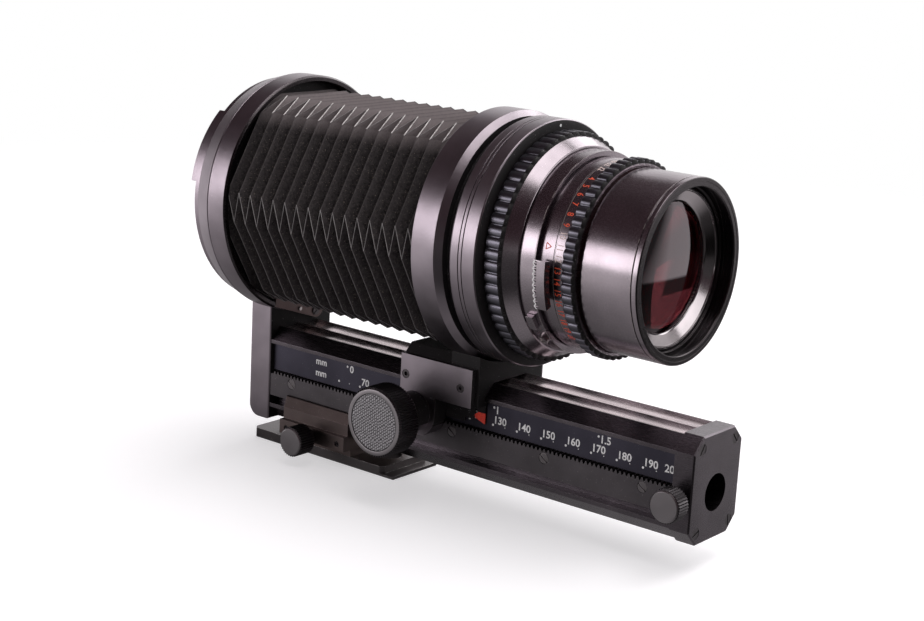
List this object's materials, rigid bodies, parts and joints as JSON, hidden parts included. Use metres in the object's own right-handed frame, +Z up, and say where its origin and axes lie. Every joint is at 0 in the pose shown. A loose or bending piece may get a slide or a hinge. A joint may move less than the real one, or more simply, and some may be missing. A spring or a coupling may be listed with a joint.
{
  "type": "macro bellows unit",
  "caption": "Camera macro bellows with a rack-driven lens standard, close-up lens, scaled rail, pleated bellows and a tripod clamp.",
  "frame": {"origin": "mouth of the quarter-inch tripod socket, in the middle of the tripod foot's underside", "axes": "+X along the rail towards the subject, +Z up, the knobs on the -Y side"},
  "size_m": [0.2017, 0.0868, 0.1362],
  "materials": {
    "rail_black": "black anodised, satin",
    "body_black": "fine-grained satin black paint",
    "lens_black": "satin black anodised",
    "scale_blue": "dark blue-grey anodised, white figures",
    "rack_grey": "machined, matt",
    "steel": "bright screws",
    "black_screw": "blackened steel",
    "bellows_cloth": "matt speckled bellows cloth",
    "block_grey": "brown-grey hammered paint",
    "foot_grey": "light grey paint",
    "knob_black": "ribbed, satin black",
    "leatherette": "pebbled black leatherette",
    "pointer_red": "bright red",
    "chrome": "polished",
    "lens_glass": "coated glass",
    "blade": "thin dark steel leaves"
  },
  "bodies": {
    "rail_assembly": {"rail": "rail_black", "scale_strip": "scale_blue", "rack": "rack_grey", "rack_screws": "steel", "end_plate": "body_black", "end_plate_screws": "steel", "rear_post": "body_black", "post_screws": "black_screw", "rear_ring": "body_black", "rear_cover": "body_black", "camera_flange": "chrome", "flange_screws": "steel", "rear_bellows_frame": "lens_black", "coupling_cover": "body_black", "coupling_cover_screw": "black_screw", "coupling_pin": "steel", "bellows": "bellows_cloth"},
    "lens_standard": {"carriage": "body_black", "carriage_side_near": "body_black", "carriage_side_far": "body_black", "carriage_screws": "black_screw", "pointer": "pointer_red", "front_ring": "body_black", "front_bellows_frame": "lens_black", "lens_mount": "body_black", "lens_barrel": "lens_black", "mid_barrel": "lens_black", "sync_socket": "chrome", "front_barrel": "lens_black", "name_ring": "lens_black", "front_glass": "lens_glass", "inner_glass": "lens_glass", "rear_glass": "lens_glass", "rear_retainer": "lens_black", "iris_blades": "blade"},
    "focus_drive": {"focus_knob": "knob_black", "knob_inlay": "leatherette", "pinion": "steel"},
    "lock_knob": {"lock_knob": "knob_black"},
    "shutter_ring": {"shutter_ring": "lens_black"},
    "aperture_ring": {"aperture_ring": "lens_black"},
    "coupling_tab": {"coupling_tab": "lens_black"},
    "sync_lever": {"sync_lever": "chrome"},
    "tripod_clamp": {"tripod_block": "block_grey", "tripod_foot": "foot_grey", "socket_bush": "steel", "foot_screws": "steel", "block_screws": "black_screw"},
    "block_knob": {"block_knob": "knob_black"},
    "end_knob": {"end_knob": "knob_black"}
  },
  "joints": [
    {"name": "focus_slide", "type": "slide", "parent": "rail_assembly", "child": "lens_standard", "axis": [1, 0, 0], "range_m": [-0.0635, 0.075], "deforming": ["bellows"]},
    {"name": "focus_turn", "type": "hinge", "parent": "lens_standard", "child": "focus_drive", "pos_m": [0.0492, 0, 0.0307], "axis": [0, 1, 0], "range_deg": [-1145, 1352]},
    {"name": "lock_turn", "type": "hinge", "parent": "lens_standard", "child": "lock_knob", "pos_m": [0.0584, 0, 0.04385], "axis": [0, 1, 0], "range_deg": [0, 270]},
    {"name": "shutter_turn", "type": "hinge", "parent": "lens_standard", "child": "shutter_ring", "pos_m": [0.0934, 0, 0.09285], "axis": [1, 0, 0], "range_deg": [-55, 55]},
    {"name": "aperture_turn", "type": "hinge", "parent": "lens_standard", "child": "aperture_ring", "pos_m": [0.1154, 0, 0.09285], "axis": [1, 0, 0], "range_deg": [-40, 40]},
    {"name": "tab_press", "type": "slide", "parent": "lens_standard", "child": "coupling_tab", "axis": [-1, 0, 0], "range_m": [0, 0.001], "stiffness_N_per_m": 400, "springref_m": -0.001},
    {"name": "sync_turn", "type": "hinge", "parent": "lens_standard", "child": "sync_lever", "pos_m": [0.1024, 0, 0.09285], "axis": [1, 0, 0], "range_deg": [-5, 5]},
    {"name": "clamp_slide", "type": "slide", "parent": "rail_assembly", "child": "tripod_clamp", "axis": [1, 0, 0], "range_m": [-0.008, 0.12]},
    {"name": "block_knob_turn", "type": "hinge", "parent": "tripod_clamp", "child": "block_knob", "pos_m": [0, -0.025, 0.00935], "axis": [0, -1, 0], "range_deg": [0, 540]},
    {"name": "end_knob_turn", "type": "hinge", "parent": "rail_assembly", "child": "end_knob", "pos_m": [0.1535, -0.02, 0.02465], "axis": [0, -1, 0], "range_deg": [0, 540]}
  ],
  "couplings": [
    {"joint": "focus_turn", "follows": "focus_slide", "rad_per_m": 314.47}
  ]
}
